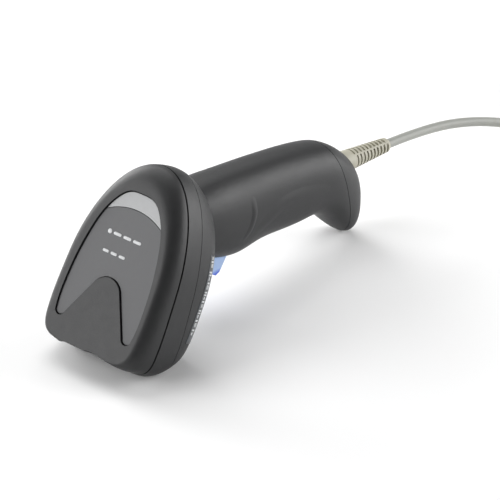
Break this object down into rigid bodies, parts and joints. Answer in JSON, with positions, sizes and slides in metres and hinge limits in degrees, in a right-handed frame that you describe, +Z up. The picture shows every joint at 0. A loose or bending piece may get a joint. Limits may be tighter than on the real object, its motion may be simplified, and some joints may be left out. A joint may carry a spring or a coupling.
{
  "type": "handheld barcode scanner",
  "caption": "Corded pistol-grip area imager with a slanted oval head, inset face plate with light crescent, sprung trigger and slotted cable boot.",
  "frame": {"origin": "centre of the scanner's footprint at the height it rests on, midway between the head's front and the handle's end, cable left out", "axes": "+X from the head along the handle to the cable, +Z up, y = 0 is the mirror plane; the scanner stands on its nose rim and the toe of its handle"},
  "size_m": [0.396, 0.0847, 0.0782],
  "materials": {
    "housing_plastic": "matte, finely textured charcoal",
    "plate_plastic": "satin dark grey",
    "light_guide": "translucent light grey",
    "label_paper": "printed film label",
    "bezel_plastic": "black",
    "window_glass": "clear, coated",
    "seal_foam": "matte",
    "chip_plastic": "moulded black",
    "circuit_board": "green solder mask",
    "led_body": "off-white",
    "steel_parts": "zinc plated",
    "flex_film": "polyimide",
    "trigger_plastic": "satin light blue",
    "plug_plastic": "translucent",
    "contact_metal": "gold plated",
    "boot_rubber": "matte beige",
    "cable_jacket": "matte grey-beige",
    "tie_nylon": "black strap",
    "overmould_rubber": "matte grey-beige"
  },
  "bodies": {
    "housing": {"top_cover": "housing_plastic", "side_band": "housing_plastic", "grip_housing": "housing_plastic", "handle_end_cap": "housing_plastic", "badge_plate": "plate_plastic", "status_light_guide": "light_guide", "underside_label": "label_paper", "window_bezel": "bezel_plastic", "scan_window": "window_glass", "window_gasket": "seal_foam", "engine_chassis": "bezel_plastic", "lens_barrel": "bezel_plastic", "front_lens": "window_glass", "image_sensor": "chip_plastic", "sensor_board": "circuit_board", "illumination_leds": "led_body", "illumination_lenses": "window_glass", "aimer_module": "steel_parts", "aimer_lens": "window_glass", "main_board": "circuit_board", "processor_parts": "chip_plastic", "board_connectors": "led_body", "beeper": "bezel_plastic", "status_leds": "led_body", "board_screws": "steel_parts", "housing_screws": "steel_parts", "engine_screws": "steel_parts", "engine_flex": "flex_film", "handle_flex": "flex_film", "trigger_pivot_pin": "steel_parts", "trigger_bracket": "bezel_plastic", "switch_body": "bezel_plastic", "trigger_spring": "steel_parts", "handle_board": "circuit_board", "cable_socket": "bezel_plastic", "cable_plug": "plug_plastic", "plug_contacts": "contact_metal", "socket_contacts": "contact_metal", "strain_relief": "boot_rubber", "cable_cord": "cable_jacket", "cable_coil": "cable_jacket", "cable_tail": "cable_jacket", "coil_tie": "tie_nylon", "usb_overmould": "overmould_rubber", "usb_shell": "steel_parts", "usb_insert": "chip_plastic"},
    "trigger": {"trigger": "trigger_plastic"},
    "plunger": {"switch_plunger": "chip_plastic"},
    "latch": {"plug_latch": "plug_plastic"}
  },
  "joints": [
    {"name": "trigger_hinge", "type": "hinge", "parent": "housing", "child": "trigger", "pos_m": [-0.0182, 0, 0.0354], "axis": [0, -1, 0], "range_deg": [0, 7], "stiffness_Nm_per_rad": 0.25, "springref_deg": -3.44, "deforming": ["trigger_spring"]},
    {"name": "switch_slide", "type": "slide", "parent": "housing", "child": "plunger", "axis": [0, 0, 1], "range_m": [0, 0.0009]},
    {"name": "latch_flex", "type": "hinge", "parent": "housing", "child": "latch", "pos_m": [0.06503, 0, 0.03956], "axis": [0, 1, 0], "range_deg": [0, 2], "stiffness_Nm_per_rad": 0.6, "springref_deg": -0.29}
  ],
  "couplings": [
    {"joint": "switch_slide", "follows": "trigger_hinge", "m_per_rad": 0.0073}
  ]
}
